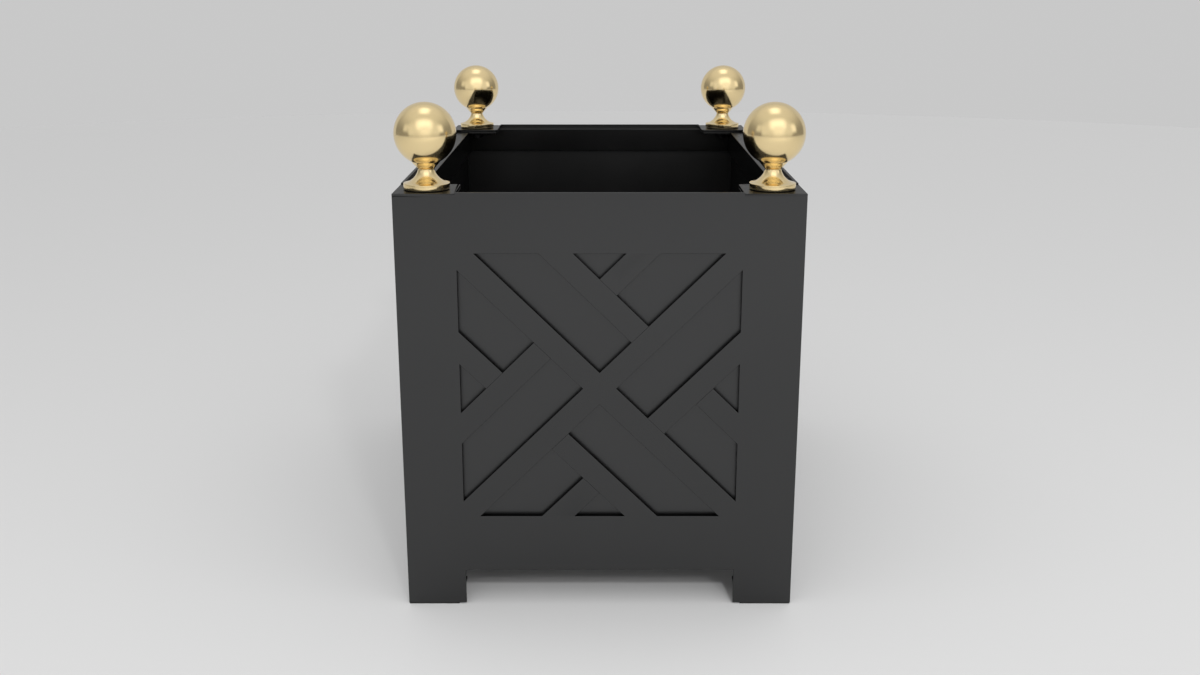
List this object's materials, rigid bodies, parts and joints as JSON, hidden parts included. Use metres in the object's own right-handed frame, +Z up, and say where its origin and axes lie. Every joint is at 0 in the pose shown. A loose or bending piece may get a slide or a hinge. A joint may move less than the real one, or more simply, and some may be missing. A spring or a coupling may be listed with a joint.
{
  "type": "versailles planter",
  "caption": "Rectangular Versailles planter on square-cut feet, with diagonal fretwork in every side, a lipped open top and a turned ball finial on a plate at each corner",
  "frame": {"origin": "on the ground at the middle of the footprint", "axes": "+Z up; +Y runs along the long side, away from the narrow front; +X to the right as the narrow front is seen"},
  "size_m": [0.6104, 0.9152, 0.7901],
  "materials": {
    "coat": "semi-gloss powder coat, dark charcoal grey",
    "board": "coated board in the same dark grey",
    "brass": "polished",
    "gasket": "matte black",
    "fastener": "black-coated steel fasteners"
  },
  "bodies": {
    "root": {"back_cross": "coat", "back_left_corner_angle": "coat", "back_left_corner_plate": "coat", "back_left_finial_ball": "brass", "back_left_finial_pedestal": "brass", "back_left_rim_gusset": "coat", "back_long_slats": "coat", "back_panel": "coat", "back_right_corner_angle": "coat", "back_right_corner_plate": "coat", "back_right_finial_ball": "brass", "back_right_finial_pedestal": "brass", "back_right_rim_gusset": "coat", "back_rim_angle": "coat", "back_short_slats": "coat", "back_spacer_strips": "board", "back_wall_board": "board", "finial_gaskets": "gasket", "finial_nuts": "fastener", "finial_studs": "fastener", "finial_washers": "fastener", "floor_bearers": "coat", "floor_board": "board", "foot_pads": "gasket", "foot_plates": "coat", "front_cross": "coat", "front_left_corner_angle": "coat", "front_left_corner_plate": "coat", "front_left_finial_ball": "brass", "front_left_finial_pedestal": "brass", "front_left_rim_gusset": "coat", "front_long_slats": "coat", "front_panel": "coat", "front_right_corner_angle": "coat", "front_right_corner_plate": "coat", "front_right_finial_ball": "brass", "front_right_finial_pedestal": "brass", "front_right_rim_gusset": "coat", "front_rim_angle": "coat", "front_short_slats": "coat", "front_spacer_strips": "board", "front_wall_board": "board", "ledger_screws": "fastener", "left_cross": "coat", "left_floor_ledger": "coat", "left_long_slats": "coat", "left_panel": "coat", "left_rim_angle": "coat", "left_short_slats": "coat", "left_spacer_strips": "board", "left_wall_board": "board", "right_cross": "coat", "right_floor_ledger": "coat", "right_long_slats": "coat", "right_panel": "coat", "right_rim_angle": "coat", "right_short_slats": "coat", "right_spacer_strips": "board", "right_wall_board": "board", "wall_screws": "fastener"}
  },
  "joints": []
}
